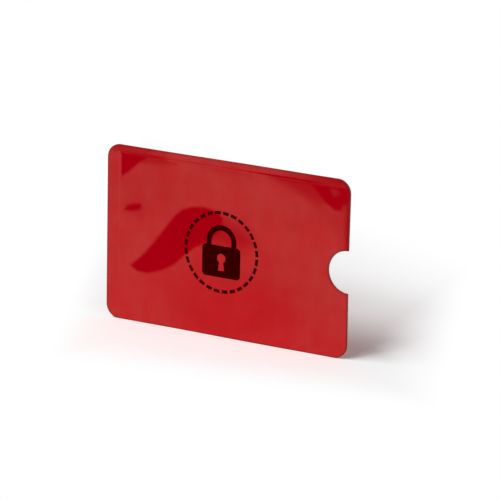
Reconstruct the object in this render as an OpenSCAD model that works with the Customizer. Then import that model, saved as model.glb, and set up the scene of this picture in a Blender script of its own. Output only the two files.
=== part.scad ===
// Sleeve that screens one bank card from contactless readers. Two laminated panels are glued
// along three sides and die-cut to a rounded outline, with a thumb notch in the open short end.
// It stands on a long edge: X runs towards the open end, Y towards the back panel, Z is up.
// The origin is the middle of the bottom edge, on the surface that the sleeve stands on.

/* [Card] */
// Length of the bank card that the pocket holds
card_length = 85.6; // [70:0.1:100]
// Width of the card
card_width = 53.98; // [40:0.01:70]
// Thickness of the card
card_thickness = 0.76; // [0.4:0.02:2]

/* [Clearances] */
// Gap between each face of the card and the pocket's lining
face_clearance = 0.05; // [0.02:0.01:0.3]
// Gap between each long edge of the card and the top of the pocket's formed wall
side_clearance = 0.11; // [0.05:0.01:1]
// Length of the sleeve beyond a card that is pushed right in
end_clearance = 0.1; // [0:0.05:2]

/* [Margins] */
// Width of the glued margin along each long side
side_margin = 2; // [1:0.1:6]
// Width of the glued margin across the closed end
end_margin = 4.4; // [2:0.1:10]
// Width of the formed wall that rises from the margin to the pocket's face
wall_width = 0.9; // [0.5:0.05:2]
// Flats across the formed wall
wall_flats = 8; // [4:1:12]
// Flats round each corner of the wall's foot
corner_flats = 4; // [4:1:12]

/* [Laminate] */
// Thickness of the gloss film, which carries the colour on its inner side
film_thickness = 0.03; // [0.02:0.01:0.1]
// Thickness of the paperboard
board_thickness = 0.2; // [0.1:0.01:0.5]
// Thickness of the aluminium foil that screens the card
foil_thickness = 0.02; // [0.01:0.01:0.1]
// Thickness of the smooth liner that faces the card
liner_thickness = 0.03; // [0.02:0.01:0.1]
// Thickness of the glue between the two panels
glue_thickness = 0.04; // [0.02:0.01:0.2]

/* [Die cut] */
// Radius of the sleeve's four corners
corner_radius = 4.7; // [2:0.1:8]
// Radius of the thumb notch, whose centre lies on the edge of the open end
notch_radius = 7.2; // [5:0.1:12]
// How far the notch's centre lies below the middle of the open end
notch_drop = 0.5; // [-3:0.1:3]

/* [Hidden] */
$fn = 64;

// The sleeve, from the card outwards
pocket_gap = card_thickness + 2 * face_clearance;
face_width = card_width + 2 * side_clearance;
sleeve_height = face_width + 2 * (wall_width + side_margin);
sleeve_length = end_clearance + card_length + wall_width + end_margin;
closed_end = -sleeve_length / 2;
open_end = sleeve_length / 2;
pocket_end = closed_end + end_margin + wall_width;
pocket_low = side_margin + wall_width;
pocket_high = sleeve_height - pocket_low;
notch_height = sleeve_height / 2 - notch_drop;

// Each layer starts this far outside the pocket's lining, counted from the lining's inner side
foil_start = liner_thickness;
board_start = foil_start + foil_thickness;
film_start = board_start + board_thickness;
film_end = film_start + film_thickness;

// Distance of the lining's inner side from the sleeve's middle plane
margin_level = glue_thickness / 2;
pocket_level = pocket_gap / 2;

// Spare length for blocks that another shape trims
spare = 1;

// Distance of the lining from the middle plane, part way up the formed wall.
// The wall rises as half a cosine wave, from share 0 at its foot to share 1 at its top.
function wall_level(share) =
    margin_level + (pocket_level - margin_level) * (1 - cos(180 * share)) / 2;

// The pocket's outline as [X, Z] points, grown by the distance given: from the open end along
// the bottom, round the closed end and back along the top. The growth also rounds the corners.
function pocket_path(growth) =
    let (turn = [for (k = [0:corner_flats]) 90 * k / corner_flats])
    concat(
        [[open_end + spare, pocket_low - growth]],
        [for (a = turn) [pocket_end - growth * sin(a), pocket_low - growth * cos(a)]],
        [for (a = turn) [pocket_end - growth * cos(a), pocket_high + growth * sin(a)]],
        [[open_end + spare, pocket_high + growth]]
    );

// A flat shape in X and Z, made as thick as given towards the back from the middle plane
module upright(thickness) {
    translate([0, thickness, 0])
        rotate([90, 0, 0])
            linear_extrude(height = thickness)
                children();
}

// The sleeve's outline with its thumb notch
module sleeve_outline() {
    difference() {
        union() {
            translate([closed_end + corner_radius, 0])
                square([sleeve_length - 2 * corner_radius, sleeve_height]);
            translate([closed_end, corner_radius])
                square([sleeve_length, sleeve_height - 2 * corner_radius]);
            for (x = [closed_end + corner_radius, open_end - corner_radius])
                for (z = [corner_radius, sleeve_height - corner_radius])
                    translate([x, z])
                        circle(r = corner_radius);
        }
        translate([open_end, notch_height])
            circle(r = notch_radius);
    }
}

// A layer's flat part over the pocket
module layer_face(start, end) {
    translate([0, pocket_level + start, 0])
        upright(end - start)
            intersection() {
                sleeve_outline();
                translate([pocket_end, pocket_low])
                    square([open_end - pocket_end, face_width]);
            }
}

// A layer's flat part in the glued margin
module layer_margin(start, end) {
    translate([0, margin_level + start, 0])
        upright(end - start)
            difference() {
                sleeve_outline();
                polygon(pocket_path(wall_width));
            }
}

// A list without the entries that repeat the next one, and with the last one next to the first
function without_repeats(list) =
    [for (k = [0:len(list) - 1]) if (list[k] != list[(k + 1) % len(list)]) list[k]];

// A layer's formed wall, swept along the pocket's outline from its foot to its top, where the
// corners are sharp. Its points are numbered by station along the outline, then by side, then
// up the wall. A corner's stations share one point at the top, the first or the last of them.
module layer_wall(start, end) {
    turn_end = corner_flats + 1;
    last = 2 * turn_end + 1;
    function shared(station) =
        station == 0 || station == last ? station : station <= turn_end ? turn_end : turn_end + 1;
    function at(station, side, step) =
        (2 * (step < wall_flats ? station : shared(station)) + side) * (wall_flats + 1) + step;
    points = [
        for (station = [0:last])
            for (offset = [start, end])
                for (step = [0:wall_flats])
                    let (share = step / wall_flats)
                    let (place = pocket_path(wall_width * (1 - share))[station])
                        [place[0], wall_level(share) + offset, place[1]]
    ];
    inner = [
        for (k = [0:last - 1])
            for (j = [0:wall_flats - 1])
                [at(k, 0, j), at(k + 1, 0, j), at(k + 1, 0, j + 1), at(k, 0, j + 1)]
    ];
    outer = [
        for (k = [0:last - 1])
            for (j = [0:wall_flats - 1])
                [at(k, 1, j), at(k, 1, j + 1), at(k + 1, 1, j + 1), at(k + 1, 1, j)]
    ];
    foot = [
        for (k = [0:last - 1])
            [at(k, 0, 0), at(k, 1, 0), at(k + 1, 1, 0), at(k + 1, 0, 0)]
    ];
    top = [
        for (k = [0:last - 1])
            let (j = wall_flats)
                [at(k, 0, j), at(k + 1, 0, j), at(k + 1, 1, j), at(k, 1, j)]
    ];
    low_end = [
        for (j = [0:wall_flats - 1])
            [at(0, 0, j), at(0, 0, j + 1), at(0, 1, j + 1), at(0, 1, j)]
    ];
    high_end = [
        for (j = [0:wall_flats - 1])
            [at(last, 0, j), at(last, 1, j), at(last, 1, j + 1), at(last, 0, j + 1)]
    ];
    faces = [
        for (face = concat(inner, outer, foot, top, low_end, high_end))
            let (kept = without_repeats(face))
                if (len(kept) > 2) kept
    ];
    polyhedron(points = points, faces = faces);
}

// The formed wall and the glued margin of a layer
module layer_rim(start, end) {
    union() {
        layer_margin(start, end);
        intersection() {
            layer_wall(start, end);
            upright(pocket_level + end + spare)
                sleeve_outline();
        }
    }
}

// A whole formed layer of the back panel, between two distances from the pocket's lining
module formed_layer(start, end) {
    union() {
        layer_face(start, end);
        layer_rim(start, end);
    }
}

// The front panel is the back panel seen in a mirror
module to_front() {
    mirror([0, 1, 0])
        children();
}

// Glue between the panels, where the shape given meets the sleeve's outline
module glue() {
    translate([0, -glue_thickness / 2, 0])
        upright(glue_thickness)
            intersection() {
                sleeve_outline();
                children();
            }
}

// A glue strip's shape along a long side, at the height given
module side_strip(z) {
    translate([closed_end, z])
        square([sleeve_length, side_margin]);
}

module front_film() {
    color("#bb1f2a")
        to_front()
            formed_layer(film_start, film_end);
}

module front_board() {
    color("#7c3638")
        to_front()
            layer_face(board_start, film_start);
}

module front_board_rim() {
    color("#6c2e31")
        to_front()
            layer_rim(board_start, film_start);
}

module front_foil() {
    color("#b4b8bc")
        to_front()
            formed_layer(foil_start, board_start);
}

module front_liner() {
    color("#d6d8da")
        to_front()
            formed_layer(0, foil_start);
}

module top_glue_strip() {
    color("#d9c98f")
        glue()
            side_strip(sleeve_height - side_margin);
}

module bottom_glue_strip() {
    color("#d9c98f")
        glue()
            side_strip(0);
}

// This strip lies between the other two and fills the corners round the pocket's foot
module end_glue_strip() {
    color("#cdb974")
        glue()
            difference() {
                translate([closed_end, side_margin])
                    square([end_margin + wall_width, sleeve_height - 2 * side_margin]);
                polygon(pocket_path(wall_width));
            }
}

module back_liner() {
    color("#d6d8da")
        formed_layer(0, foil_start);
}

module back_foil() {
    color("#b4b8bc")
        formed_layer(foil_start, board_start);
}

module back_board_rim() {
    color("#6c2e31")
        layer_rim(board_start, film_start);
}

module back_board() {
    color("#7c3638")
        layer_face(board_start, film_start);
}

module back_film() {
    color("#bb1f2a")
        formed_layer(film_start, film_end);
}

front_film();
front_board();
front_board_rim();
front_foil();
front_liner();
top_glue_strip();
bottom_glue_strip();
end_glue_strip();
back_liner();
back_foil();
back_board_rim();
back_board();
back_film();
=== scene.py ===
import math

import bpy
import numpy as np
from mathutils import Matrix, Vector


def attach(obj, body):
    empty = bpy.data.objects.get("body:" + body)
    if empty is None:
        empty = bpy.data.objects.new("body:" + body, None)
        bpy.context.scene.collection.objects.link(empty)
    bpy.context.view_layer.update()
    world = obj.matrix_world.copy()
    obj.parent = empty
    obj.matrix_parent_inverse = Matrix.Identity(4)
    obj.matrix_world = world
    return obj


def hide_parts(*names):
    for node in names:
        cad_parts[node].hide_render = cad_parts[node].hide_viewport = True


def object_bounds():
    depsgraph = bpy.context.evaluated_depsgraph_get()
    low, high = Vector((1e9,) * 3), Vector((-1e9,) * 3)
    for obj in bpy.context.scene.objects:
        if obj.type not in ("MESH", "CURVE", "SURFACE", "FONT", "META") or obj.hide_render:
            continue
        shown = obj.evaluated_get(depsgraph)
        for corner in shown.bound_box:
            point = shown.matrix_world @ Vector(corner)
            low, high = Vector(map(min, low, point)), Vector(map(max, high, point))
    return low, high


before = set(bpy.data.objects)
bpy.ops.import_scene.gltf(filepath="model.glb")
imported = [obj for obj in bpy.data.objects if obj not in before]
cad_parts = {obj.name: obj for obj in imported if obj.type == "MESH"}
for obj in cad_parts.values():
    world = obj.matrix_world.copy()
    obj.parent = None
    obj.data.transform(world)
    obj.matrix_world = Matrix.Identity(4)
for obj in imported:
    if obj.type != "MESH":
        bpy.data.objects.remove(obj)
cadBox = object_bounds()
scene = bpy.context.scene
mm = 0.001
print("frame:", len(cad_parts), "nodes")

# Sizes are in millimetres, in the same frame as the solids: x runs to the open end, z is up
sleeve = {
    "length": (cadBox[1].x - cadBox[0].x) / mm,
    "height": cadBox[1].z / mm,
    "cornerRadius": 4.7,
    "notchRadius": 7.2,
    "notchHeight": 29.5,
    "sideMargin": 2.0,
    "endMargin": 4.4,
    "rampWidth": 0.5,           # the formed step between a margin and the pocket
    "marginGap": 0.02,          # half the glue's thickness
    "seamGap": 0.10,            # half the empty pocket's gap next to the seams
    "fieldGap": 0.22,           # the same in the middle of the pocket, where the panels bulge
    "mouthGap": 0.04,           # the same at the mouth
    "bulgeReach": 11.0,         # how far from a seam the bulge is full
    "bulgeFade": (0.0, 45.0),   # the x over which the bulge dies away
    "closeFrom": 30.0,          # the x from which the panels close towards the mouth
}
closedEnd = -sleeve["length"] / 2
openEnd = sleeve["length"] / 2

# Each layer lies between these distances from the pocket's lining
layers = {
    "Liner": (0.0, 0.03),
    "Foil": (0.03, 0.05),
    "Board": (0.05, 0.25),
    "Film": (0.25, 0.28),
}


def smoothStep(low, high, value):
    # Rises from 0 at low to 1 at high as the cubic 3t^2 - 2t^3
    t = np.clip((value - low) / (high - low), 0.0, 1.0)
    return t * t * (3.0 - 2.0 * t)


def leftInset(z):
    # How far the closed end's edge lies inside the sleeve's box: the corner's circle
    r, h = sleeve["cornerRadius"], sleeve["height"]
    reach = np.maximum(np.maximum(r - z, z - h + r), 0.0)
    return r - np.sqrt(np.maximum(r * r - reach * reach, 0.0))


def rightInset(z):
    # The same at the open end: the corner's circle, or the notch's circle where that is deeper
    n = sleeve["notchRadius"]
    notch = np.sqrt(np.maximum(n * n - (z - sleeve["notchHeight"]) ** 2, 0.0))
    return np.maximum(leftInset(z), notch)


# How finely the panels are cut: counts of points on the arcs, and steps in millimetres
fineness = {
    "cornerPoints": 13,
    "notchPoints": 41,
    "ramp": 0.0625,
    "clear": 0.1,               # least distance of a corner's row from the ramp
    "besideRamp": [3.0, 3.8],   # rows between the ramp and the end of the corner
    "rows": 0.85,
    "edge": 0.25,               # columns in the first half millimetre
    "edgeWidth": 0.5,
    "margin": 0.65,
    "besideField": 0.6,
    "field": 0.9,
    "fieldEnds": (9.0, 84.0),
    "mouth": 0.5,
    "leftFade": 12.0,           # how far the closed end's inset reaches into the panel
    "rightFade": 19.0,          # the same at the open end
}


def spaced(start, end, step):
    # Even steps from start to end, both included
    return np.linspace(start, end, max(2, int(round((end - start) / step)) + 1))


def sleeveGrid():
    # One grid of (x, z) points that every layer shares. Rows are closer in the corners' and the
    # notch's circles and in the formed ramps. Columns follow the ends' insets, which fade inwards
    # as the square of what is left of their reach.
    fine, h, length = fineness, sleeve["height"], sleeve["length"]
    r, n, zn = sleeve["cornerRadius"], sleeve["notchRadius"], sleeve["notchHeight"]
    low, end, ramp = sleeve["sideMargin"], sleeve["endMargin"], sleeve["rampWidth"]

    arc = r * (1.0 - np.cos(np.linspace(0.0, math.pi / 2, fine["cornerPoints"])))
    side = np.concatenate([
        arc[arc < low - fine["clear"]], spaced(low, low + ramp, fine["ramp"]),
        fine["besideRamp"], [r]])
    notchArc = zn + n * np.sin(np.linspace(-math.pi / 2, math.pi / 2, fine["notchPoints"]))
    rows = np.unique(np.round(np.concatenate([
        side, spaced(r, zn - n, fine["rows"]), notchArc,
        spaced(zn + n, h - r, fine["rows"]), h - side]), 4))

    fieldStart, fieldEnd = fine["fieldEnds"]
    across = np.unique(np.round(np.concatenate([
        spaced(0.0, fine["edgeWidth"], fine["edge"]),
        spaced(fine["edgeWidth"], end, fine["margin"]),
        spaced(end, end + ramp, fine["ramp"]),
        spaced(end + ramp, fieldStart, fine["besideField"]),
        spaced(fieldStart, fieldEnd, fine["field"]),
        spaced(fieldEnd, length, fine["mouth"])]), 4))

    x0, z = np.meshgrid(across, rows)
    nearLeft = np.clip(1.0 - x0 / fine["leftFade"], 0.0, 1.0) ** 2
    nearRight = np.clip(1.0 - (length - x0) / fine["rightFade"], 0.0, 1.0) ** 2
    x = closedEnd + x0 + leftInset(z) * nearLeft - rightInset(z) * nearRight
    return x, z, across, rows


gridX, gridZ, gridAcross, gridRows = sleeveGrid()
print("grid:", gridX.shape)

# How the panels bow. Each wave is its depth, where it starts and its length.
bow = {
    "top": (0.13, -8.0, 62.0),          # along x at the top edge
    "bottom": (0.12, -31.0, 58.0),      # along x at the bottom edge
    "mouthFrom": (24.0, 45.0),          # the x over which the mouth's own shape takes over
    "twist": (-0.20, 0.30, 1.05),       # up the mouth, in shares of the height
    "mouthShift": -0.12,
}
# The slow swell that makes the two bulges differ, as a share of the bulge
swell = {"share": 0.2, "start": -40.0, "along": 27.0, "up": 19.0}


def wave(value, depth, start, length):
    # A sine of the given depth and length, 0 at its start
    return depth * np.sin((value - start) * 2 * math.pi / length)


def warp(x, z):
    # How far both panels together bow to the back: a long wave at the top and another at the
    # bottom, mixed by height, and a twist of the mouth's edge
    up = z / sleeve["height"]
    mouth = smoothStep(*bow["mouthFrom"], x)
    field = up * wave(x, *bow["top"]) + (1 - up) * wave(x, *bow["bottom"])
    return (1 - mouth) * field + mouth * (wave(up, *bow["twist"]) + bow["mouthShift"])


def rampShare(x, z):
    # 0 on the margin and 1 over the pocket, rising as half a cosine wave across the formed ramp.
    # The ramp's corners are sharp at its top and round at its foot.
    width = sleeve["rampWidth"]
    left = closedEnd + sleeve["endMargin"] + width
    low = sleeve["sideMargin"] + width
    dx = np.maximum(left - x, 0.0)
    dz = np.maximum(np.maximum(low - z, z - (sleeve["height"] - low)), 0.0)
    share = np.clip(1.0 - np.hypot(dx, dz) / width, 0.0, 1.0)
    return (1.0 - np.cos(math.pi * share)) / 2.0


def fieldHalfGap(x, z, side):
    # Half the empty pocket's gap. It grows from the seams inwards as the cubic step, times a slow
    # product of sines that differs on each panel, and closes again at the mouth.
    margin = np.minimum(np.minimum(z, sleeve["height"] - z) - sleeve["sideMargin"],
        x - closedEnd - sleeve["endMargin"])
    bulge = smoothStep(0.0, sleeve["bulgeReach"], margin)
    bulge = bulge * (1.0 - smoothStep(*sleeve["bulgeFade"], x))
    along = np.sin((x - swell["start"]) / swell["along"] + side)
    uneven = swell["share"] * along * np.sin(z / swell["up"] + 0.5 * side)
    growth = sleeve["fieldGap"] - sleeve["seamGap"]
    gap = sleeve["seamGap"] + growth * bulge * (1.0 + uneven)
    closing = smoothStep(sleeve["closeFrom"], openEnd, x)
    return gap + (sleeve["mouthGap"] - gap) * closing


def surfaceY(x, z, side, distance, formed=True):
    # The y of a point in a panel, for side -1 (front) or 1 (back), at a distance outwards from
    # its lining. Where formed is False the pocket's surface runs on over the margins.
    share = rampShare(x, z) if formed else 1.0
    gap = sleeve["marginGap"] + (fieldHalfGap(x, z, side) - sleeve["marginGap"]) * share
    return warp(x, z) + side * (gap + distance)


sharpAngle = 40.0       # degrees between two faces, above which their edge isn't smoothed


def newMesh(name, points, quads):
    # A mesh of four-sided faces, filled from a whole array of points in millimetres and one of
    # the points' numbers, and shaded smooth
    mesh = bpy.data.meshes.new(name)
    mesh.vertices.add(len(points))
    mesh.vertices.foreach_set("co", (points * mm).astype(np.float32).ravel())
    mesh.loops.add(len(quads) * 4)
    mesh.loops.foreach_set("vertex_index", quads.astype(np.int32).ravel())
    mesh.polygons.add(len(quads))
    mesh.polygons.foreach_set("loop_start", np.arange(0, len(quads) * 4, 4, dtype=np.int32))
    mesh.polygons.foreach_set("use_smooth", np.ones(len(quads), dtype=bool))
    mesh.update(calc_edges=True)
    mesh.set_sharp_from_angle(angle=math.radians(sharpAngle))
    piece = bpy.data.objects.new(name, mesh)
    scene.collection.objects.link(piece)
    return piece


def gridFaces(rows, columns):
    # The numbers of a grid's points, and the four corners of each of its cells in order
    ids = np.arange(rows * columns).reshape(rows, columns)
    corners = [ids[:-1, :-1], ids[:-1, 1:], ids[1:, 1:], ids[1:, :-1]]
    return ids, np.stack(corners, axis=-1).reshape(-1, 4)


def closedSheet(name, x, z, yFront, yBack):
    # A thin solid between two surfaces over the same grid: both faces, and a wall along its edge
    front = np.stack([x, yFront, z], axis=-1).reshape(-1, 3)
    back = np.stack([x, yBack, z], axis=-1).reshape(-1, 3)
    ids, faces = gridFaces(*x.shape)
    rim = np.concatenate([ids[0, :-1], ids[:-1, -1], ids[-1, :0:-1], ids[:0:-1, 0]])
    after = np.roll(rim, -1)
    wall = np.stack([rim, rim + ids.size, after + ids.size, after], axis=-1)
    quads = np.concatenate([faces, faces[:, ::-1] + ids.size, wall])
    return newMesh(name, np.concatenate([front, back]), quads)


def panelLayer(name, layer, side):
    # A panel's layer: the solid between the surfaces at its two distances from the lining
    start, end = layers[layer]
    inner = surfaceY(gridX, gridZ, side, start)
    outer = surfaceY(gridX, gridZ, side, end)
    return closedSheet(name, gridX, gridZ, np.minimum(inner, outer), np.maximum(inner, outer))


def glueStrip(name, rows, columns):
    # A flat strip of glue that fills the gap between the panels' linings in the margin
    x, z = gridX[rows][:, columns], gridZ[rows][:, columns]
    y, half = warp(x, z), sleeve["marginGap"]
    return closedSheet(name, x, z, y - half, y + half)


pieces = {}
for label, side in (("front", -1), ("back", 1)):
    for layer in layers:
        pieces[label + layer] = panelLayer(label + layer, layer, side)

# The glue lies on the grid's rows and columns up to the margins, with a little to spare
spare = 1e-3
lowRows = np.flatnonzero(gridRows <= sleeve["sideMargin"] + spare)
highRows = np.flatnonzero(gridRows >= sleeve["height"] - sleeve["sideMargin"] - spare)
midRows = np.arange(lowRows[-1], highRows[0] + 1)
endColumns = np.flatnonzero(gridAcross <= sleeve["endMargin"] + spare)
allColumns = np.arange(len(gridAcross))
pieces["topGlue"] = glueStrip("topGlue", highRows, allColumns)
pieces["bottomGlue"] = glueStrip("bottomGlue", lowRows, allColumns)
pieces["endGlue"] = glueStrip("endGlue", midRows, endColumns)
print("pieces:", len(pieces))


# Small helpers for shader nodes
def feed(tree, socket, value):
    # Links an output to a socket, or sets a number on it, or a colour given as (r, g, b)
    if isinstance(value, bpy.types.NodeSocket):
        tree.links.new(value, socket)
    elif isinstance(value, tuple):
        socket.default_value = (*value, 1.0)
    else:
        socket.default_value = value


def calc(tree, operation, *inputs):
    # One Math node
    node = tree.nodes.new("ShaderNodeMath")
    node.operation = operation
    for socket, value in zip(node.inputs, inputs):
        feed(tree, socket, value)
    return node.outputs[0]


def mixColour(tree, factor, a, b, blend="MIX"):
    # Colour a at factor 0 and b at factor 1, or the two blended in another way
    node = tree.nodes.new("ShaderNodeMix")
    node.data_type = "RGBA"
    node.blend_type = blend
    for index, value in ((0, factor), (6, a), (7, b)):
        feed(tree, node.inputs[index], value)
    return node.outputs[2]


def rescale(tree, value, low, high, toLow=0.0, toHigh=1.0, smooth=False):
    # Carries low to toLow and high to toHigh, held at both ends, straight or as the cubic step
    node = tree.nodes.new("ShaderNodeMapRange")
    node.interpolation_type = "SMOOTHSTEP" if smooth else "LINEAR"
    for socket, given in zip(node.inputs, (value, low, high, toLow, toHigh)):
        feed(tree, socket, given)
    return node.outputs[0]


def noise(tree, place, scale, detail=2.0, roughness=0.5):
    # Soft noise between 0 and 1, with scale as the number of waves in a millimetre
    node = tree.nodes.new("ShaderNodeTexNoise")
    for key, value in (("Vector", place), ("Scale", scale), ("Detail", detail),
            ("Roughness", roughness)):
        feed(tree, node.inputs[key], value)
    return node.outputs["Fac"]


def fullRange(tree, value, toLow=0.0, toHigh=1.0):
    # Noise lies mostly between 0.3 and 0.7, which this stretches to the range given
    return rescale(tree, value, 0.3, 0.7, toLow, toHigh)


def mapped(tree, place, scale=(1, 1, 1), turn=(0, 0, 0), move=(0, 0, 0)):
    # A place that is scaled, then turned by angles in degrees, then moved
    node = tree.nodes.new("ShaderNodeMapping")
    tree.links.new(place, node.inputs["Vector"])
    node.inputs["Scale"].default_value = scale
    node.inputs["Rotation"].default_value = [math.radians(a) for a in turn]
    node.inputs["Location"].default_value = move
    return node.outputs[0]


def splitPlace(tree, place):
    # The x, y and z of a place
    node = tree.nodes.new("ShaderNodeSeparateXYZ")
    tree.links.new(place, node.inputs[0])
    return node.outputs


def flatLength(tree, a, b):
    # The root of the sum of two squares
    squares = calc(tree, "ADD", calc(tree, "MULTIPLY", a, a), calc(tree, "MULTIPLY", b, b))
    return calc(tree, "SQRT", squares)


def beyond(tree, value, limit):
    # How far a value lies past a limit on either side of 0, and 0 between the limits
    size = calc(tree, "ABSOLUTE", value)
    return calc(tree, "MAXIMUM", calc(tree, "SUBTRACT", size, limit), 0.0)


def newGroup(name, inputs, outputs):
    # A node group with named inputs (name, kind, value) and outputs (name, kind)
    group = bpy.data.node_groups.new(name, "ShaderNodeTree")
    for label, kind, value in inputs:
        socket = group.interface.new_socket(
            label, in_out="INPUT", socket_type="NodeSocket" + kind)
        if value is not None:
            socket.default_value = value
    for label, kind in outputs:
        group.interface.new_socket(label, in_out="OUTPUT", socket_type="NodeSocket" + kind)
    start, end = group.nodes.new("NodeGroupInput"), group.nodes.new("NodeGroupOutput")
    return group, start.outputs, end.inputs


def useGroup(tree, group, given):
    # Places a group in a tree, with its inputs set or linked by their names
    node = tree.nodes.new("ShaderNodeGroup")
    node.node_tree = group
    for key, value in given.items():
        feed(tree, node.inputs[key], value)
    return node.outputs


def fineGrainGroup():
    # Two sizes of noise: a small one for the surface's grain and a broad one for uneven colour
    group, given, result = newGroup("fineGrain",
        [("Place", "Vector", None), ("Size", "Float", 0.3), ("Patch Size", "Float", 12.0)],
        [("Height", "Float"), ("Tone", "Float")])
    grainScale = calc(group, "DIVIDE", 1.0, given["Size"])
    patchScale = calc(group, "DIVIDE", 1.0, given["Patch Size"])
    small = noise(group, given["Place"], grainScale, 3.0, 0.6)
    broad = noise(group, given["Place"], patchScale, 3.0, 0.5)
    group.links.new(small, result["Height"])
    group.links.new(fullRange(group, broad), result["Tone"])
    return group


# Each direction of scratches is its angle in degrees and a shift that makes it differ
scratch = {
    "directions": [(23.0, 0.0), (-58.0, 40.0), (81.0, 90.0)],
    "drawnOut": (0.05, 0.2, 1.3),   # the noise's scale along, behind and across a mark
    "halfWidth": 0.004,             # in units of the noise's height
    "breakScale": 0.16,
    "breakRange": (0.56, 0.62),     # where the second noise starts to show a mark, and shows it
}


def hairScratchGroup():
    # Thin straight marks: noise drawn out along one direction, cut to its crest line, and broken
    # into short lengths by a second noise. Three directions are laid over each other.
    group, given, result = newGroup("hairScratches",
        [("Place", "Vector", None), ("Amount", "Float", 0.5)], [("Mask", "Float")])
    total = None
    for angle, shift in scratch["directions"]:
        along = mapped(group, given["Place"], turn=(0, angle, 0), move=(shift, 0, shift))
        drawn = noise(group, mapped(group, along, scale=scratch["drawnOut"]), 1.0, 0.0)
        crest = calc(group, "ABSOLUTE", calc(group, "SUBTRACT", drawn, 0.5))
        line = rescale(group, crest, 0.0, scratch["halfWidth"], 1.0, 0.0, smooth=True)
        gaps = noise(group, along, scratch["breakScale"], 1.0)
        broken = rescale(group, gaps, *scratch["breakRange"])
        mask = calc(group, "MULTIPLY", line, broken)
        total = mask if total is None else calc(group, "MAXIMUM", total, mask)
    group.links.new(calc(group, "MULTIPLY", total, given["Amount"]), result["Mask"])
    return group


cutLine = {
    "wanderScale": 0.9,
    "wander": (0.8, 1.2),           # how the width varies along the cut
    "fade": (0.2, 1.6),             # where the mask is 1 and 0, in widths from the cut
}


def cutEdgeGroup():
    # How far a point lies inside the die-cut outline, in millimetres: the rounded rectangle's
    # distance, or the notch's where that is nearer, up to the corner's radius. The mask is 1 at
    # the cut and falls to 0 at a width that wanders a little.
    r, half, middle = sleeve["cornerRadius"], sleeve["length"] / 2, sleeve["height"] / 2
    group, given, result = newGroup("cutEdge",
        [("Place", "Vector", None), ("Width", "Float", 0.3)], [("Mask", "Float")])
    x, _, z = splitPlace(group, given["Place"])
    fromMiddle = calc(group, "SUBTRACT", z, middle)
    corner = flatLength(group, beyond(group, x, half - r), beyond(group, fromMiddle, middle - r))
    notch = flatLength(group,
        calc(group, "SUBTRACT", x, half), calc(group, "SUBTRACT", z, sleeve["notchHeight"]))
    inside = calc(group, "MINIMUM", calc(group, "SUBTRACT", r, corner),
        calc(group, "SUBTRACT", notch, sleeve["notchRadius"]))
    uneven = noise(group, given["Place"], cutLine["wanderScale"], 2.0)
    wander = fullRange(group, uneven, *cutLine["wander"])
    share = calc(group, "DIVIDE", inside, calc(group, "MULTIPLY", wander, given["Width"]))
    mask = rescale(group, share, *cutLine["fade"], 1.0, 0.0, smooth=True)
    group.links.new(mask, result["Mask"])
    return group


fineGrain = fineGrainGroup()
hairScratches = hairScratchGroup()
cutEdge = cutEdgeGroup()


def objectMillimetres(tree):
    # Object coordinates, scaled to millimetres
    place = tree.nodes.new("ShaderNodeTexCoord").outputs["Object"]
    return mapped(tree, place, scale=(1 / mm, 1 / mm, 1 / mm))


def newMaterial(name, settings):
    # A material with the settings made on its shader's own sockets
    material = bpy.data.materials.new(name)
    material.use_nodes = True
    shader = material.node_tree.nodes["Principled BSDF"]
    for key, value in settings.items():
        shader.inputs[key].default_value = value
    return material, material.node_tree, shader


def addBump(tree, shader, height, strength, distance):
    # Bends the shader's normal by a height, whose full depth is a distance in millimetres
    bump = tree.nodes.new("ShaderNodeBump")
    bump.inputs["Strength"].default_value = strength
    bump.inputs["Distance"].default_value = distance * mm
    tree.links.new(height, bump.inputs["Height"])
    tree.links.new(bump.outputs[0], shader.inputs["Normal"])


def addGrain(tree, look, place):
    # The fine grain at a finish's own sizes, in millimetres
    return useGroup(tree, fineGrain,
        {"Place": place, "Size": look["grain"], "Patch Size": look["patch"]})


def addScratches(tree, look, place):
    # The hair scratches in a finish's own amount
    return useGroup(tree, hairScratches, {"Place": place, "Amount": look["scratches"]})["Mask"]


# A plain padlock in a ring of dashes, printed in dark ink on the front only
mark = {
    "centre": (-1.5, 29.0),
    "ringRadius": 13.4,
    "ringWidth": 1.1,
    "dashes": 28,
    "dashEnds": (0.13, 0.15),       # from the gap's middle, in shares of a dash and its gap
    "body": (7.2, 5.4),             # half its width and height
    "bodyDrop": 3.2,
    "bodyCorner": 1.4,
    "shackleRadius": 4.7,
    "shackleWidth": 1.9,
    "shackleRise": 3.6,
    "keyholeRadius": 1.6,
    "keyholeRise": 1.1,             # above the body's middle
    "slotHalfWidth": 0.55,
    "slotSpread": 0.16,             # how much the slot widens for each millimetre down
    "slotLength": 4.2,
    "softEdge": 0.06,
}


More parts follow.
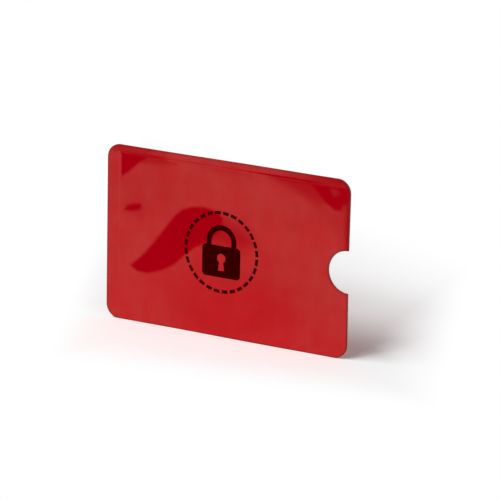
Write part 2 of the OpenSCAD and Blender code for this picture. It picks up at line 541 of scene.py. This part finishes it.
def printMarkGroup():
    # The mark as distances in millimetres, below 0 inside the ink: a ring cut into dashes, and a
    # padlock whose body is a rounded rectangle, whose shackle is an arch and whose keyhole is bare
    group, given, result = newGroup("printMark", [("Place", "Vector", None)], [("Ink", "Float")])
    acrossPlace, _, upPlace = splitPlace(group, given["Place"])
    x = calc(group, "SUBTRACT", acrossPlace, mark["centre"][0])
    z = calc(group, "SUBTRACT", upPlace, mark["centre"][1])

    def ink(distance):
        # 1 inside the outline and 0 outside it, with a soft edge
        soft = mark["softEdge"]
        return rescale(group, distance, -soft, soft, 1.0, 0.0, smooth=True)

    def band(distance, radius, width):
        # How far a distance lies outside a band round a radius
        offset = calc(group, "ABSOLUTE", calc(group, "SUBTRACT", distance, radius))
        return calc(group, "SUBTRACT", offset, width / 2)

    ring = band(flatLength(group, x, z), mark["ringRadius"], mark["ringWidth"])
    dashTurns = calc(group, "MULTIPLY",
        calc(group, "ARCTAN2", z, x), mark["dashes"] / (2 * math.pi))
    dash = rescale(group, calc(group, "PINGPONG", dashTurns, 0.5), *mark["dashEnds"])
    ringInk = calc(group, "MULTIPLY", ink(ring), dash)

    corner = mark["bodyCorner"]
    bodyZ = calc(group, "ADD", z, mark["bodyDrop"])
    body = calc(group, "SUBTRACT", flatLength(group,
        beyond(group, x, mark["body"][0] - corner),
        beyond(group, bodyZ, mark["body"][1] - corner)), corner)
    rise = calc(group, "MAXIMUM", calc(group, "SUBTRACT", z, mark["shackleRise"]), 0.0)
    arch = band(flatLength(group, x, rise), mark["shackleRadius"], mark["shackleWidth"])
    shackle = calc(group, "MAXIMUM", arch, calc(group, "MULTIPLY", z, -1.0))
    lock = calc(group, "MINIMUM", body, shackle)

    holeZ = calc(group, "SUBTRACT", bodyZ, mark["keyholeRise"])
    hole = calc(group, "SUBTRACT", flatLength(group, x, holeZ), mark["keyholeRadius"])
    slotEdge = calc(group, "MULTIPLY_ADD", holeZ, -mark["slotSpread"], mark["slotHalfWidth"])
    slotSide = calc(group, "SUBTRACT", calc(group, "ABSOLUTE", x), slotEdge)
    slotFoot = calc(group, "MULTIPLY_ADD", holeZ, -1.0, -mark["slotLength"])
    slot = calc(group, "MAXIMUM", slotSide, calc(group, "MAXIMUM", holeZ, slotFoot))
    keyhole = ink(calc(group, "MINIMUM", hole, slot))
    lockInk = calc(group, "MULTIPLY", ink(lock), calc(group, "SUBTRACT", 1.0, keyhole))
    group.links.new(calc(group, "MAXIMUM", ringInk, lockInk), result["Ink"])
    return group


film = {
    "red": (0.518, 0.0, 0.0068),
    "deepRed": (0.428, 0.0, 0.0063),
    "ink": (0.035, 0.0, 0.0),
    "edge": (0.27, 0.006, 0.010),
    "cloudShare": 0.35,             # how much of the tone is cloudy, the rest deepens upwards
    "edgeWidth": 0.4,
    "edgeMatt": 0.25,               # the share of metal and gloss that the cut edge loses
    "mouthShadeWidth": 0.5,               # painted shade: added to the cut's width along the mouth above the notch
    "mouthShadeAlong": (40.0, 44.0),
    "mouthShadeUp": (34.0, 42.0),
    "metal": 0.185,
    "grain": 0.25,
    "patch": 14.0,
    "roughness": (0.04, 0.08),
    "scratches": 0.35,
    "scratchRoughness": 0.4,
    "scratchLoss": 0.6,             # the share of gloss that a scratch takes
    "inkRoughness": 0.5,
    "coatRoughness": 0.03,
    "coatIor": 1.43,
    "dullCentre": (2.5, 13.0),      # where the gloss is weaker
    "dullReach": (32.0, 18.5),
    "dullFade": (0.35, 1.25),       # in shares of its reach
    "dullness": 0.45,
    "mottle": 0.26,
    "mottleScale": 0.11,
    "mottleRange": (0.38, 0.62),
    "streaks": 0.12,
    "streakScale": (0.42, 0.0, 0.07),
    "streakRange": (0.36, 0.64),
    "bump": (0.05, 0.01),
}


def glossAmount(tree, place, scratches):
    # The gloss is full round the edges and weaker in a soft oval low in the middle of the panel.
    # It varies slowly all over, with faint upright streaks, and each scratch breaks it. The
    # amount is the product of the four.
    (centreX, centreZ), (reachX, reachZ) = film["dullCentre"], film["dullReach"]
    shifted = mapped(tree, place, move=(-centreX, 0, -centreZ))
    ovalPlace = mapped(tree, shifted, scale=(1 / reachX, 0, 1 / reachZ))
    size = tree.nodes.new("ShaderNodeVectorMath")
    size.operation = "LENGTH"
    tree.links.new(ovalPlace, size.inputs[0])
    oval = rescale(tree, size.outputs["Value"], *film["dullFade"], 1.0 - film["dullness"], 1.0,
        smooth=True)
    cloud = noise(tree, place, film["mottleScale"], 3.0, 0.55)
    mottle = rescale(tree, cloud, *film["mottleRange"], 1.0 - film["mottle"], 1.0)
    drawn = noise(tree, mapped(tree, place, scale=film["streakScale"]), 1.0, 2.0, 0.6)
    streaks = rescale(tree, drawn, *film["streakRange"], 1.0 - film["streaks"], 1.0)
    clean = calc(tree, "MULTIPLY_ADD", scratches, -film["scratchLoss"], 1.0)
    uneven = calc(tree, "MULTIPLY", calc(tree, "MULTIPLY", oval, mottle), streaks)
    return calc(tree, "MULTIPLY", uneven, clean)


def filmEdge(tree, place, x, z):
    # The cut edge's mask, widened by painted shade along the mouth, above the notch
    mouthShade = calc(tree, "MULTIPLY", rescale(tree, x, *film["mouthShadeAlong"], smooth=True),
        rescale(tree, z, *film["mouthShadeUp"], smooth=True))
    width = calc(tree, "MULTIPLY_ADD", mouthShade, film["mouthShadeWidth"], film["edgeWidth"])
    return useGroup(tree, cutEdge, {"Place": place, "Width": width})["Mask"]


def filmMaterial(name, printed):
    # Red print under a clear gloss film. The red has a little metal in it, and is a mix of two
    # reds by height and by soft clouds. The film is the coat, which gives all the white gloss.
    # The dark mark is printed on top in matt ink. At the cut the dyed board shows; near the mouth
    # that band is painted shade.
    material, tree, shader = newMaterial(name, {
        "Specular IOR Level": 0.0,
        "Coat Roughness": film["coatRoughness"],
        "Coat IOR": film["coatIor"],
    })
    place = objectMillimetres(tree)
    x, _, z = splitPlace(tree, place)
    grain = addGrain(tree, film, place)
    scratches = addScratches(tree, film, place)
    edge = filmEdge(tree, place, x, z)
    low = rescale(tree, z, 0.0, sleeve["height"], 1.0, 0.0)
    tone = calc(tree, "MULTIPLY_ADD", grain["Tone"], film["cloudShare"],
        calc(tree, "MULTIPLY", low, 1.0 - film["cloudShare"]))
    colour = mixColour(tree, tone, film["deepRed"], film["red"])
    rough = calc(tree, "MULTIPLY_ADD", scratches, film["scratchRoughness"],
        fullRange(tree, grain["Height"], *film["roughness"]))
    bare = calc(tree, "MULTIPLY_ADD", edge, -film["edgeMatt"], 1.0)
    if printed:
        ink = useGroup(tree, printMarkGroup(), {"Place": place})["Ink"]
        colour = mixColour(tree, ink, colour, film["ink"])
        rough = calc(tree, "MULTIPLY_ADD", ink, film["inkRoughness"], rough)
        bare = calc(tree, "MULTIPLY", bare, calc(tree, "SUBTRACT", 1.0, ink))
    # The cut's colour, which along the mouth above the notch is painted shade
    tree.links.new(mixColour(tree, edge, colour, film["edge"]), shader.inputs["Base Color"])
    tree.links.new(rough, shader.inputs["Roughness"])
    tree.links.new(calc(tree, "MULTIPLY", bare, film["metal"]), shader.inputs["Metallic"])
    gloss = calc(tree, "MULTIPLY", bare, glossAmount(tree, place, scratches))
    tree.links.new(gloss, shader.inputs["Coat Weight"])
    addBump(tree, shader, grain["Height"], *film["bump"])
    return material


board = {
    "dark": (0.30, 0.010, 0.016),
    "light": (0.48, 0.026, 0.034),
    "stretch": (0.35, 1.0, 1.0),    # fibres lie along the sheet
    "grain": 0.12,
    "patch": 3.0,
    "roughness": 0.8,
    "specular": 0.05,
    "bump": (0.6, 0.02),
}
# Board dust that the cut drags over the thin layers
smear = {"colour": (0.40, 0.020, 0.027), "width": 0.4}


def smeared(tree, place, colour):
    # A layer's colour, and the board's dust in its place at the cut
    edge = useGroup(tree, cutEdge, {"Place": place, "Width": smear["width"]})["Mask"]
    return mixColour(tree, edge, colour, smear["colour"])


def boardMaterial():
    # Dyed paperboard: fibres drawn out along the sheet, with darker and lighter ones
    material, tree, shader = newMaterial("dyedBoard",
        {"Roughness": board["roughness"], "Specular IOR Level": board["specular"]})
    grain = addGrain(tree, board, mapped(tree, objectMillimetres(tree), scale=board["stretch"]))
    colour = mixColour(tree, fullRange(tree, grain["Height"]), board["dark"], board["light"])
    tree.links.new(colour, shader.inputs["Base Color"])
    addBump(tree, shader, grain["Height"], *board["bump"])
    return material


foil = {
    "dark": (0.52, 0.53, 0.55),
    "light": (0.72, 0.73, 0.75),
    "stretch": (0.06, 1.0, 2.0),    # rolling lines lie along the sheet
    "grain": 0.15,
    "patch": 6.0,
    "roughness": (0.24, 0.38),
    "scratches": 0.4,
    "scratchRoughness": 0.3,
    "bump": (0.3, 0.004),
}


def foilMaterial():
    # Rolled foil: fine lines along the sheet, with a cloudy sheen and hair scratches
    material, tree, shader = newMaterial("rolledFoil", {"Metallic": 1.0})
    place = objectMillimetres(tree)
    grain = addGrain(tree, foil, mapped(tree, place, scale=foil["stretch"]))
    scratches = addScratches(tree, foil, place)
    colour = mixColour(tree, fullRange(tree, grain["Height"]), foil["dark"], foil["light"])
    tree.links.new(smeared(tree, place, colour), shader.inputs["Base Color"])
    rough = calc(tree, "MULTIPLY_ADD", scratches, foil["scratchRoughness"],
        rescale(tree, grain["Tone"], 0.0, 1.0, *foil["roughness"]))
    tree.links.new(rough, shader.inputs["Roughness"])
    addBump(tree, shader, grain["Height"], *foil["bump"])
    return material


liner = {
    "dark": (0.50, 0.51, 0.53),
    "light": (0.60, 0.61, 0.62),
    "metal": 0.45,
    "specular": 0.2,
    "grain": 0.4,
    "patch": 9.0,
    "roughness": (0.33, 0.45),
    "bump": (0.2, 0.01),
}
glue = {
    "dark": (0.42, 0.33, 0.20),
    "light": (0.56, 0.47, 0.32),
    "metal": 0.0,
    "specular": 0.1,
    "grain": 0.5,
    "patch": 4.0,
    "roughness": (0.45, 0.65),
    "bump": (0.4, 0.02),
}


def cloudyMaterial(name, look):
    # A colour that varies in soft patches under a fine grain, as on the satin lining over the
    # foil and the set glue
    material, tree, shader = newMaterial(name,
        {"Metallic": look["metal"], "Specular IOR Level": look["specular"]})
    place = objectMillimetres(tree)
    grain = addGrain(tree, look, place)
    colour = mixColour(tree, grain["Tone"], look["dark"], look["light"])
    tree.links.new(smeared(tree, place, colour), shader.inputs["Base Color"])
    rough = fullRange(tree, grain["Height"], *look["roughness"])
    tree.links.new(rough, shader.inputs["Roughness"])
    addBump(tree, shader, grain["Height"], *look["bump"])
    return material


finishes = {
    "printedFilm": filmMaterial("printedRedFilm", True),
    "plainFilm": filmMaterial("plainRedFilm", False),
    "board": boardMaterial(),
    "foil": foilMaterial(),
    "liner": cloudyMaterial("satinLiner", liner),
    "glue": cloudyMaterial("setGlue", glue),
}

# Each piece with its finish, the record's slot and the solids that it stands for
dressing = {
    "frontFilm": ("printedFilm", "film", "front_film"),
    "frontBoard": ("board", "board", "front_board", "front_board_rim"),
    "frontFoil": ("foil", "foil", "front_foil"),
    "frontLiner": ("liner", "liner", "front_liner"),
    "backLiner": ("liner", "liner", "back_liner"),
    "backFoil": ("foil", "foil", "back_foil"),
    "backBoard": ("board", "board", "back_board", "back_board_rim"),
    "backFilm": ("plainFilm", "film", "back_film"),
    "topGlue": ("glue", "glue", "top_glue_strip"),
    "bottomGlue": ("glue", "glue", "bottom_glue_strip"),
    "endGlue": ("glue", "glue", "end_glue_strip"),
}
for name, (finish, slot, *nodes) in dressing.items():
    pieces[name].data.materials.append(finishes[finish])
    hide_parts(*nodes)
    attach(pieces[name], "root")
print("finishes:", len(finishes))

# The camera stands to the right of the sleeve's front, a little above it, at a long lens
view = {
    "place": (544.39, -961.40, 343.76),
    "azimuth": 29.113,
    "elevation": 15.849,
    "roll": 1.094,
    "lens": 252.29,
    "sensor": 36.0,
    "clip": (0.01, 20.0),           # in metres
}


def makeCamera():
    # A camera looks straight down until it is turned: first by its roll, then up until it
    # looks down by its elevation only, and then round by its azimuth
    data = bpy.data.cameras.new("camera")
    data.lens = view["lens"]
    data.sensor_width = view["sensor"]
    data.clip_start, data.clip_end = view["clip"]
    camera = bpy.data.objects.new("camera", data)
    turn = (Matrix.Rotation(math.radians(view["azimuth"]), 4, "Z")
        @ Matrix.Rotation(math.radians(90 - view["elevation"]), 4, "X")
        @ Matrix.Rotation(math.radians(view["roll"]), 4, "Z"))
    camera.matrix_world = Matrix.Translation([v * mm for v in view["place"]]) @ turn
    scene.collection.objects.link(camera)
    scene.camera = camera


makeCamera()
print("camera:", view["lens"], "mm lens")

# Each softbox is given by its direction from the sleeve, its width and height and its power
studio = {
    "white": (1.0, 1.0, 1.0),       # the surroundings to the eye
    "cream": (1.0, 1.0, 0.76),      # the surroundings where gloss shows them
    "ambient": 0.22,
    "distance": 1200.0,
    "aimHeight": 20.0,
    "key": {"azimuth": 226.0, "elevation": 53.5, "size": (850, 250), "power": 7.4},
    "front": {"azimuth": 256.0, "elevation": 38.0, "size": (630, 240), "power": 4.4},
    "fill": {"azimuth": 335.0, "elevation": 15.0, "size": (500, 300), "power": 1.9},
    "back": {"azimuth": 100.0, "elevation": 20.0, "size": (700, 400), "power": 7.0},
}


def backdropColour(tree, path):
    # White to the eye, and cream where gloss shows it
    return mixColour(tree, path["Is Glossy Ray"], studio["white"], studio["cream"])


def seenDirectly(tree, path):
    # 1 for what the eye sees, straight or in gloss or through glass, and 0 for stray light
    seen = calc(tree, "MAXIMUM", path["Is Camera Ray"], path["Is Glossy Ray"])
    return calc(tree, "MAXIMUM", seen, path["Is Transmission Ray"])


def bareMaterial(name):
    # A material without a shader, and the socket that takes one
    material = bpy.data.materials.new(name)
    material.use_nodes = True
    tree = material.node_tree
    tree.nodes.clear()
    return material, tree, tree.nodes.new("ShaderNodeOutputMaterial").inputs["Surface"]


def mixShaders(tree, factor, first, second, surface):
    # The first shader at factor 0 and the second at factor 1
    blend = tree.nodes.new("ShaderNodeMixShader")
    for socket, output in zip(blend.inputs, (factor, first.outputs[0], second.outputs[0])):
        tree.links.new(output, socket)
    tree.links.new(blend.outputs[0], surface)


# Floor: pale and matt near the sleeve, where it takes the shadow, and plain white further off.
# Each side of the matt area is a line, given by the direction off it and its distance from the
# frame's origin. A longer direction fades over a shorter way.
floor = {
    "size": 6000.0,
    "colour": 0.93,
    "gain": 1.2,
    "cloudScale": 0.05,
    "cloud": (0.99, 1.01),
    "sides": [((1.06, 0.44), 82.0), ((-1.91, -0.89), 114.0), ((0.17, -1.0), 42.0),
        ((0.18, 0.34), 43.0)],
    "fade": (-24.4, 6.6),
}


def whiteShare(tree, place):
    # 0 on the matt area and 1 outside it: the greatest distance past any of its sides, eased
    x, y, _ = splitPlace(tree, place)
    past = None
    for (dx, dy), distance in floor["sides"]:
        here = calc(tree, "MULTIPLY_ADD", x, dx, calc(tree, "MULTIPLY_ADD", y, dy, -distance))
        past = here if past is None else calc(tree, "MAXIMUM", past, here)
    return rescale(tree, past, *floor["fade"], smooth=True)


def makeFloor():
    # One large face. To the eye its matt colour is lifted by the gain, so that it meets the
    # white round it, and every other ray finds the plain colour.
    half = floor["size"] / 2
    corners = [[-half, -half, 0], [half, -half, 0], [half, half, 0], [-half, half, 0]]
    piece = newMesh("floor", np.array(corners, float), np.array([[0, 1, 2, 3]]))
    material, tree, surface = bareMaterial("paleFloor")
    path = tree.nodes.new("ShaderNodeLightPath").outputs
    seen, backdrop = seenDirectly(tree, path), backdropColour(tree, path)
    place = objectMillimetres(tree)
    cloud = fullRange(tree, noise(tree, place, floor["cloudScale"], 2.0), *floor["cloud"])
    lift = floor["colour"] * (floor["gain"] - 1.0)
    level = calc(tree, "MULTIPLY", cloud,
        calc(tree, "MULTIPLY_ADD", seen, lift, floor["colour"]))
    grey = tree.nodes.new("ShaderNodeCombineColor")
    for socket in grey.inputs:
        tree.links.new(level, socket)
    matt = tree.nodes.new("ShaderNodeBsdfDiffuse")
    tinted = mixColour(tree, 1.0, grey.outputs[0], backdrop, "MULTIPLY")
    tree.links.new(tinted, matt.inputs["Color"])
    white = tree.nodes.new("ShaderNodeEmission")
    white.inputs["Strength"].default_value = 1.0
    tree.links.new(backdrop, white.inputs["Color"])
    share = calc(tree, "MULTIPLY", whiteShare(tree, place), seen)
    mixShaders(tree, share, matt, white, surface)
    piece.data.materials.append(material)


def makeWorld():
    # White to the eye and in reflections, and an even grey as a light
    world = bpy.data.worlds.new("studio")
    scene.world = world
    world.use_nodes = True
    tree = world.node_tree
    path = tree.nodes.new("ShaderNodeLightPath").outputs
    background = tree.nodes["Background"].inputs
    strength = rescale(tree, seenDirectly(tree, path), 0.0, 1.0, studio["ambient"], 1.0)
    tree.links.new(strength, background["Strength"])
    tree.links.new(backdropColour(tree, path), background["Color"])


def softbox(name, azimuth, elevation, size, power):
    # An area lamp that faces the sleeve. Gloss shows the white studio in its place.
    data = bpy.data.lights.new(name, "AREA")
    data.shape = "RECTANGLE"
    data.size, data.size_y = size[0] * mm, size[1] * mm
    data.energy = power
    lamp = bpy.data.objects.new(name, data)
    scene.collection.objects.link(lamp)
    turn, rise = math.radians(azimuth), math.radians(elevation)
    away = Vector((math.cos(rise) * math.cos(turn), math.cos(rise) * math.sin(turn),
        math.sin(rise)))
    lamp.location = away * studio["distance"] * mm + Vector((0, 0, studio["aimHeight"] * mm))
    lamp.rotation_mode = "QUATERNION"
    lamp.rotation_quaternion = (-away).to_track_quat("-Z", "Y")
    lamp.visible_glossy = False
    return lamp


makeFloor()
makeWorld()
for name in ("key", "front", "fill"):
    softbox(name + "Light", **studio[name])

# The back's lamp lights the sleeve alone, so the floor keeps the shadow behind it
sleeveOnly = bpy.data.collections.new("sleeveOnly")
for piece in pieces.values():
    sleeveOnly.objects.link(piece)
softbox("backLight", **studio["back"]).light_linking.receiver_collection = sleeveOnly
print("studio: floor, world and 4 lamps")

glossOnly = {"leastHeight": 0.3, "leastShade": 0.005}       # faces below either are left out


def glossOnlySheet(name, points, shadeValues):
    # A sheet that gloss sees as darker by its shade, and that lets everything else through
    ids, quads = gridFaces(*shadeValues.shape)
    above = (points[..., 2] > glossOnly["leastHeight"]).ravel()
    dark = (shadeValues > glossOnly["leastShade"]).ravel()
    quads = quads[above[quads].all(axis=1) & dark[quads].any(axis=1)]
    sheet = newMesh(name, points.reshape(-1, 3), quads)
    shade = sheet.data.attributes.new("shade", "FLOAT", "POINT")
    shade.data.foreach_set("value", np.clip(shadeValues, 0, 1).astype(np.float32).ravel())
    material, tree, surface = bareMaterial(name)
    value = tree.nodes.new("ShaderNodeAttribute")
    value.attribute_name = "shade"
    clear = tree.nodes.new("ShaderNodeBsdfTransparent")
    black = tree.nodes.new("ShaderNodeEmission")
    black.inputs["Strength"].default_value = 0.0
    mixShaders(tree, value.outputs["Fac"], clear, black, surface)
    sheet.data.materials.append(material)
    sheet.visible_camera = False
    sheet.visible_diffuse = False
    sheet.visible_shadow = False
    sheet.visible_transmission = False
    print(name, len(quads), "faces")


# A dark sheet that only gloss sees stands left of the frame, for the dark things in the room.
# Its outlines are given where they show on the front film, in millimetres from its closed end
# and its top edge.
darkSheet = {
    "plane": 62.0,      # how far left of the picture's middle it stands
    "step": 0.5,
    "slopeStep": 0.1,
    # strength, softness and outline: a strength below 0 lightens again
    "shapes": [
        # the long shape across the middle, and its soft end
        (1.0, 0.5, [(9.0, 40.9), (14.0, 36.3), (18.3, 31.3), (22.2, 26.2), (25.6, 21.6),
            (28.8, 18.6), (33.0, 17.0), (37.5, 16.5), (42.0, 17.3), (44.5, 19.5), (43.0, 24.0),
            (39.5, 28.0), (34.0, 31.0), (29.5, 34.8), (26.0, 38.2), (21.0, 40.9), (16.0, 42.6),
            (12.0, 42.5)]),
        (0.75, 4.5, [(36.0, 19.5), (46.0, 19.0), (55.0, 23.0), (57.0, 27.0), (48.0, 30.0),
            (36.0, 29.0)]),
        # the top left corner
        (1.0, 0.45, [(5.0, 2.0), (16.5, 2.0), (14.0, 4.0), (12.0, 5.5), (9.2, 8.0), (7.0, 9.8),
            (5.0, 10.8)]),
        (0.55, 0.9, [(14.0, 2.0), (20.0, 1.8), (27.0, 3.6), (21.0, 4.6), (13.0, 5.2)]),
        (0.4, 0.9, [(3.0, -1.0), (19.0, -1.0), (15.0, 2.4), (4.6, 2.4), (2.4, 3.0), (1.6, 1.5)]),
        (0.14, 5.0, [(1.0, 8.0), (24.0, 5.0), (28.0, 16.0), (16.0, 24.0), (1.0, 20.0)]),
        # the small spot at the left
        (1.0, 0.6, [(6.4, 22.2), (7.6, 20.3), (10.4, 19.3), (13.2, 18.9), (13.5, 20.3),
            (12.4, 21.3), (9.4, 22.2)]),
        (0.22, 2.5, [(5.5, 24.0), (6.5, 18.5), (13.0, 17.5), (16.0, 20.0), (12.0, 24.0)]),
        # the top right corner and the strips that lead to it
        (1.0, 0.6, [(76.0, 2.4), (92.0, 2.0), (92.0, 7.6), (88.8, 8.4), (88.0, 10.4),
            (85.6, 10.6), (82.0, 8.4), (79.2, 5.4)]),
        (0.5, 1.5, [(61.0, 2.2), (78.0, 1.8), (84.0, 8.6), (79.0, 9.6), (71.0, 6.8),
            (65.0, 5.0)]),
        (0.35, 1.0, [(66.0, 2.0), (77.0, 1.8), (82.0, 7.4), (78.0, 7.0), (71.0, 5.6)]),
        (0.3, 1.2, [(36.0, 2.2), (55.0, 2.2), (54.0, 4.2), (40.0, 4.2)]),
        (0.3, 4.5, [(78.0, 9.0), (93.0, 8.0), (93.0, 21.0), (87.0, 18.0), (81.0, 14.0)]),
        (0.25, 1.2, [(66.0, -1.0), (92.0, -1.0), (92.0, 2.2), (68.0, 2.0)]),
        (0.35, 1.2, [(76.0, -1.0), (92.0, -1.0), (92.0, 2.2), (78.0, 2.0)]),
        (0.95, 0.3, [(58.0, 2.1), (61.0, 2.2), (77.0, 2.0), (77.0, 3.2), (66.0, 3.5),
            (61.0, 3.0)]),
        (0.85, 0.8, [(89.4, 5.0), (94.0, 5.0), (94.0, 24.0), (89.8, 24.0)]),
        (-0.4, 0.6, [(83.6, 3.6), (86.2, 3.2), (87.3, 5.0), (85.0, 6.0)]),
    ],
}


def insideDistance(u, v, outline):
    # How far points lie inside a closed outline, negative outside: the least distance to its
    # sides, with the sign from how often a line to the right crosses them
    corners = np.array(outline)
    nearest = np.full(u.shape, np.inf)
    inside = np.zeros(u.shape, bool)
    for (ax, ay), (bx, by) in zip(corners, np.roll(corners, -1, axis=0)):
        ex, ey = bx - ax, by - ay
        t = np.clip(((u - ax) * ex + (v - ay) * ey) / (ex * ex + ey * ey), 0, 1)
        nearest = np.minimum(nearest, np.hypot(u - ax - t * ex, v - ay - t * ey))
        if ay != by:
            inside ^= ((ay > v) != (by > v)) & (u < ax + (v - ay) * ex / ey)
    return np.where(inside, nearest, -nearest)


def unit(vectors):
    # Vectors of length 1 in the same directions
    return vectors / np.linalg.norm(vectors, axis=-1, keepdims=True)


def makeDarkSheet():
    # Sends a line from the camera to each point of the film's face, turns it by the mirror law,
    # and follows it to an upright plane that stands along the picture's left side
    u, v = np.meshgrid(spaced(0.0, sleeve["length"], darkSheet["step"]),
        spaced(0.0, sleeve["height"], darkSheet["step"]))
    x, z = closedEnd + u, sleeve["height"] - v

    def face(px, pz):
        # The film's outer face, with the pocket's surface run on over the margins
        return surfaceY(px, pz, -1, layers["Film"][1], formed=False)

    s = darkSheet["slopeStep"]
    slopeX = (face(x + s, z) - face(x - s, z)) / (2 * s)
    slopeZ = (face(x, z + s) - face(x, z - s)) / (2 * s)
    normal = unit(np.stack([slopeX, -np.ones_like(x), slopeZ], axis=-1))
    point = np.stack([x, face(x, z), z], axis=-1)
    ray = unit(point - np.array(view["place"]))
    ray -= 2 * np.sum(ray * normal, axis=-1, keepdims=True) * normal
    angle = math.radians(view["azimuth"])
    right = np.array([math.cos(angle), math.sin(angle), 0.0])
    travel = (-darkSheet["plane"] - point @ right) / (ray @ right)
    reached = point + travel[..., None] * ray

    clear = np.ones_like(u)
    for strength, soft, outline in darkSheet["shapes"]:
        share = smoothStep(-soft, soft, insideDistance(u, v, outline))
        clear = clear * (1 - strength * share) if strength > 0 else clear - strength * share
    glossOnlySheet("darkSheet", reached, 1 - clear)


# A dark strip further off, which only the formed step along the top seam shows. Its lower edge
# and its shade are given at places along the seam, in millimetres from the closed end.
seamSheet = {
    "away": 150.0,          # how far in front of the sleeve it stands
    "ends": (-25.0, 35.0),  # how far it reaches past the closed and the open end
    "step": 1.0,
    "rows": 17,
    "high": 110.0,
    "lows": [(0, 11), (18, 11), (28, 25), (54, 25), (62, 13), (90, 13)],
    "soft": 8.0,
    "shades": [(-25, 0), (2, 0.85), (16, 0.85), (24, 0.4), (48, 0.4), (54, 0.6), (60, 0.97),
        (76, 0.95), (86, 0.93), (92, 0.75), (125, 0)],
}


def makeSeamSheet():
    # An upright sheet, shifted along the camera's azimuth so that each place lies where the seam
    # mirrors it. Its rows draw closer towards the lower edge, from which the shade rises.
    start, end = seamSheet["ends"]
    u, t = np.meshgrid(spaced(start, sleeve["length"] + end, seamSheet["step"]),
        np.linspace(0, 1, seamSheet["rows"]) ** 2)
    x = closedEnd + u - seamSheet["away"] * math.tan(math.radians(view["azimuth"]))
    low = np.interp(u, *zip(*seamSheet["lows"]))
    z = low + (seamSheet["high"] - low) * t
    points = np.stack([x, np.full_like(x, -seamSheet["away"]), z], axis=-1)
    shade = np.interp(u, *zip(*seamSheet["shades"])) * smoothStep(0.0, seamSheet["soft"], z - low)
    glossOnlySheet("seamSheet", points, shade)


makeDarkSheet()
makeSeamSheet()

scene.view_settings.view_transform = "Standard"
